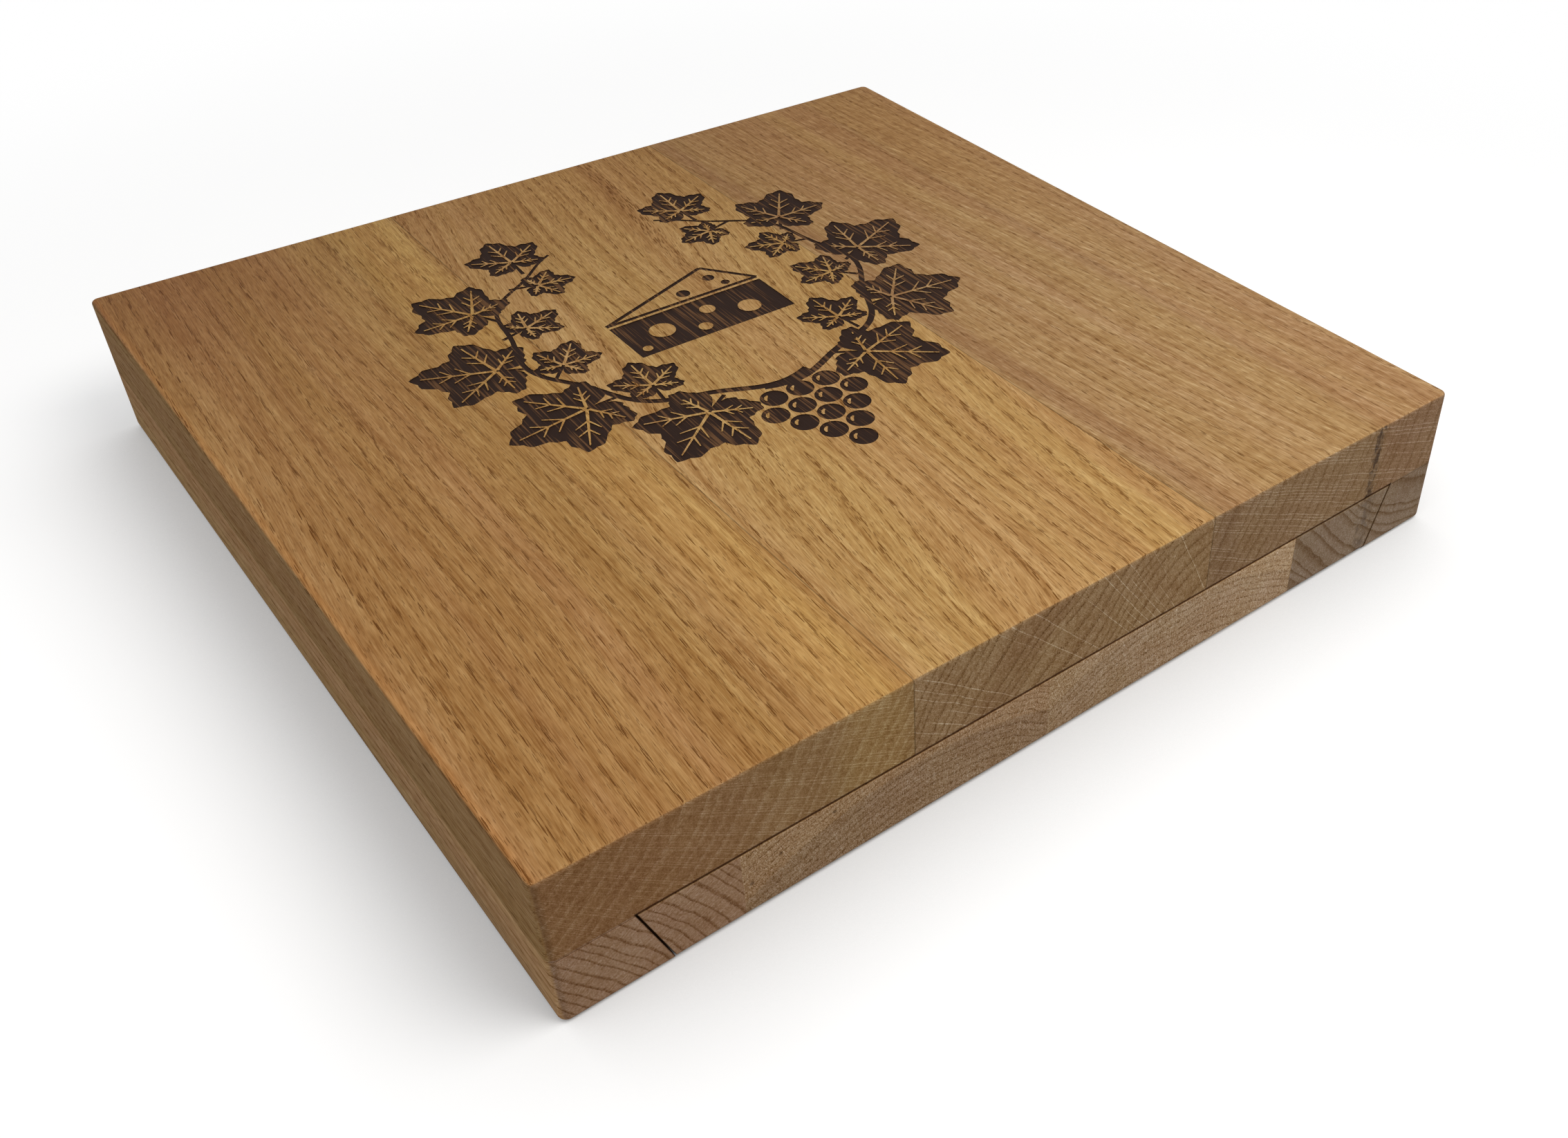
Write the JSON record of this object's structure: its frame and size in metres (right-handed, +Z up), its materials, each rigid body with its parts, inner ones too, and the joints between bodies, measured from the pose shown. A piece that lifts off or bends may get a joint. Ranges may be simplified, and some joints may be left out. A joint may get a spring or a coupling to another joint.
{
  "type": "cheese board",
  "caption": "Square oiled oak cheese board with a dovetailed tray that slides out from under the top panel; milled bays hold cheese tools and magnets keep it shut.",
  "frame": {"origin": "middle of the board's underside, on the table", "axes": "+Z up; X across the grain; the grain runs along Y; the tray slides out towards -Y, which is the front"},
  "size_m": [0.3, 0.3, 0.047],
  "materials": {
    "oak_top_left": "oiled, satin",
    "oak_top_middle": "oiled, satin",
    "oak_top_right": "oiled, satin",
    "oak_lower": "oiled, satin",
    "oak_lower_right": "oiled, satin",
    "handle_wood": "oiled, satin",
    "blade_steel": "brushed",
    "magnet_nickel": "plated, slightly scratched"
  },
  "bodies": {
    "board": {"top_stave_left": "oak_top_left", "top_stave_middle": "oak_top_middle", "top_stave_right": "oak_top_right", "rail_left": "oak_lower", "rail_right": "oak_lower_right", "panel_magnet_left": "magnet_nickel", "panel_magnet_right": "magnet_nickel"},
    "tray": {"tray_stave_left_edge": "oak_lower", "tray_stave_left": "oak_lower", "tray_stave_right": "oak_lower", "tray_stave_right_edge": "oak_lower_right", "tray_magnet_left": "magnet_nickel", "tray_magnet_right": "magnet_nickel", "flat_knife_handle": "handle_wood", "flat_knife_ferrule": "blade_steel", "flat_knife_blade": "blade_steel", "cheese_fork_handle": "handle_wood", "cheese_fork_ferrule": "blade_steel", "cheese_fork_blade": "blade_steel", "hard_cheese_knife_handle": "handle_wood", "hard_cheese_knife_ferrule": "blade_steel", "hard_cheese_knife_blade": "blade_steel", "soft_cheese_knife_handle": "handle_wood", "soft_cheese_knife_ferrule": "blade_steel", "soft_cheese_knife_blade": "blade_steel"}
  },
  "joints": [
    {"name": "tray_slide", "type": "slide", "parent": "board", "child": "tray", "axis": [0, -1, 0], "range_m": [0, 0.3]}
  ]
}
